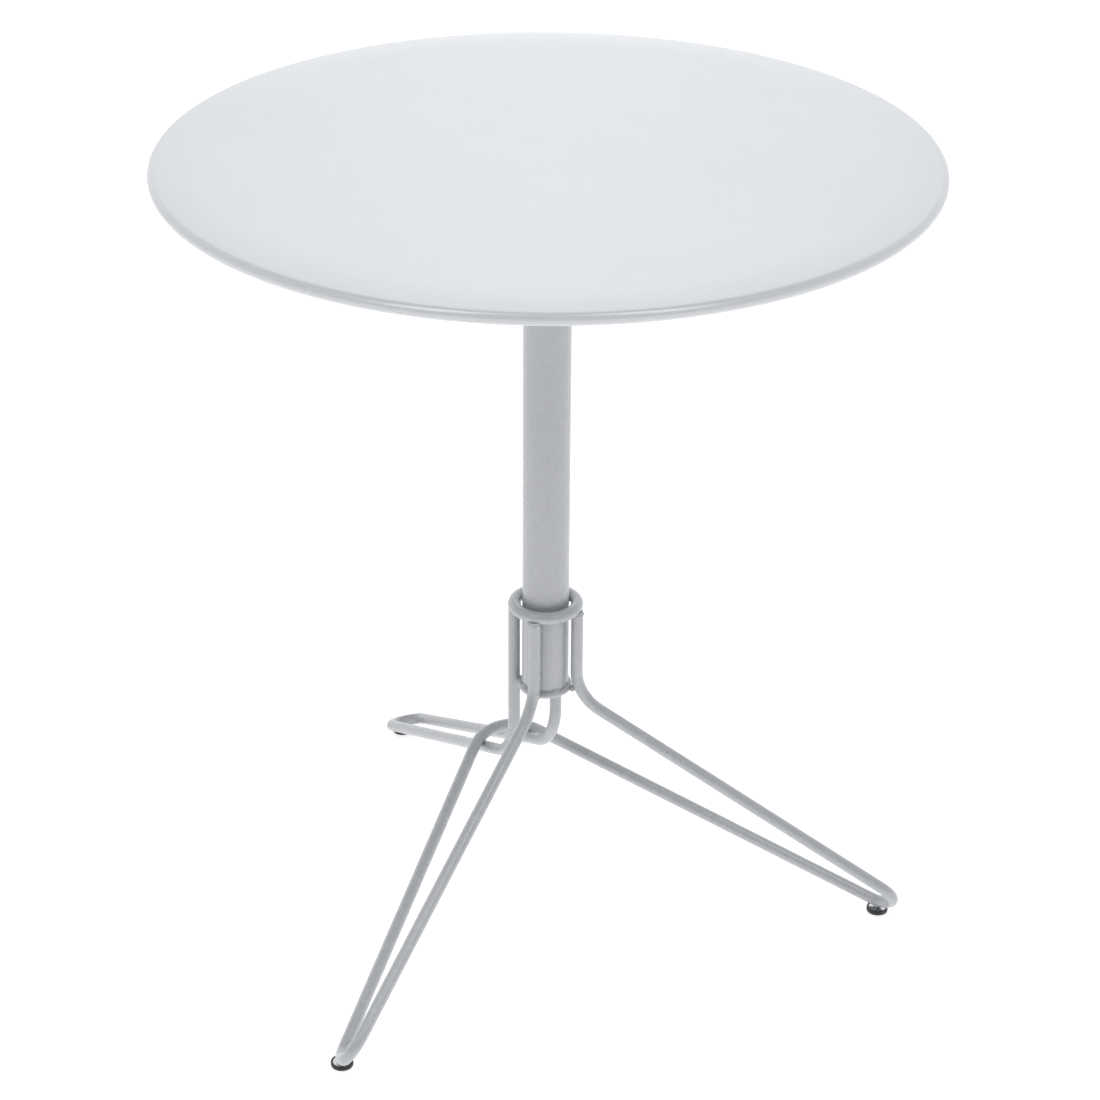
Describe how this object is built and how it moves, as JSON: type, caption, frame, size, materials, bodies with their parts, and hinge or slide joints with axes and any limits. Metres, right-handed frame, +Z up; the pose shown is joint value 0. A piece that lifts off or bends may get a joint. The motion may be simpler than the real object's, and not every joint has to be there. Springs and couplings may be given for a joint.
{
  "type": "bistro table",
  "caption": "Round metal bistro table that tilts flat, on a tube column and a base of bent rod with levelling feet.",
  "frame": {"origin": "on the floor, on the column's axis", "axes": "+Z up, rear leg along +Y, the top tilts about an axis along +X"},
  "size_m": [0.6699, 0.681, 0.7485],
  "materials": {
    "top_coat": "fine satin powder coat, cool light grey white",
    "frame_coat": "fine satin powder coat, light grey",
    "head_coat": "plain satin coat, mid grey",
    "cast_head": "die cast, bead blasted",
    "zinc_steel": "bright zinc plate",
    "black_screw": "black oxide",
    "bush_plastic": "moulded, matt",
    "washer_brass": "rolled",
    "lever_metal": "die cast, satin",
    "grip_plastic": "moulded, fine texture",
    "pad_plastic": "moulded, matt, worn at the floor edge"
  },
  "bodies": {
    "base": {"column_head": "cast_head", "head_screws": "black_screw", "pivot_bolt": "zinc_steel", "pivot_washers": "washer_brass", "lever_cap_nut": "zinc_steel", "column_tube": "frame_coat", "upper_ring": "frame_coat", "lower_ring": "frame_coat", "front_leg_wire": "frame_coat", "rear_leg_wire": "frame_coat", "cage_welds": "frame_coat", "column_welds": "frame_coat", "crossing_welds": "frame_coat"},
    "top": {"table_top": "top_coat", "top_stiffener": "head_coat", "weld_studs": "zinc_steel", "tilt_bracket": "head_coat", "bracket_washers": "zinc_steel", "bracket_nuts": "zinc_steel", "stop_pin": "zinc_steel", "pivot_bushes": "bush_plastic"},
    "lever": {"clamp_lever": "lever_metal", "lever_grip": "grip_plastic"},
    "foot_left": {"foot_stem_left": "zinc_steel", "foot_pad_left": "pad_plastic"},
    "foot_right": {"foot_stem_right": "zinc_steel", "foot_pad_right": "pad_plastic"},
    "foot_rear": {"foot_stem_rear": "zinc_steel", "foot_pad_rear": "pad_plastic"}
  },
  "joints": [
    {"name": "top_tilt", "type": "hinge", "parent": "base", "child": "top", "pos_m": [0, 0, 0.7115], "axis": [1, 0, 0], "range_deg": [0, 90]},
    {"name": "lever_turn", "type": "hinge", "parent": "base", "child": "lever", "pos_m": [0.02, 0, 0.7115], "axis": [1, 0, 0], "range_deg": [0, 60]},
    {"name": "foot_left_level", "type": "slide", "parent": "base", "child": "foot_left", "axis": [0, 0, -1], "range_m": [0, 0.004]},
    {"name": "foot_right_level", "type": "slide", "parent": "base", "child": "foot_right", "axis": [0, 0, -1], "range_m": [0, 0.004]},
    {"name": "foot_rear_level", "type": "slide", "parent": "base", "child": "foot_rear", "axis": [0, 0, -1], "range_m": [0, 0.004]}
  ]
}
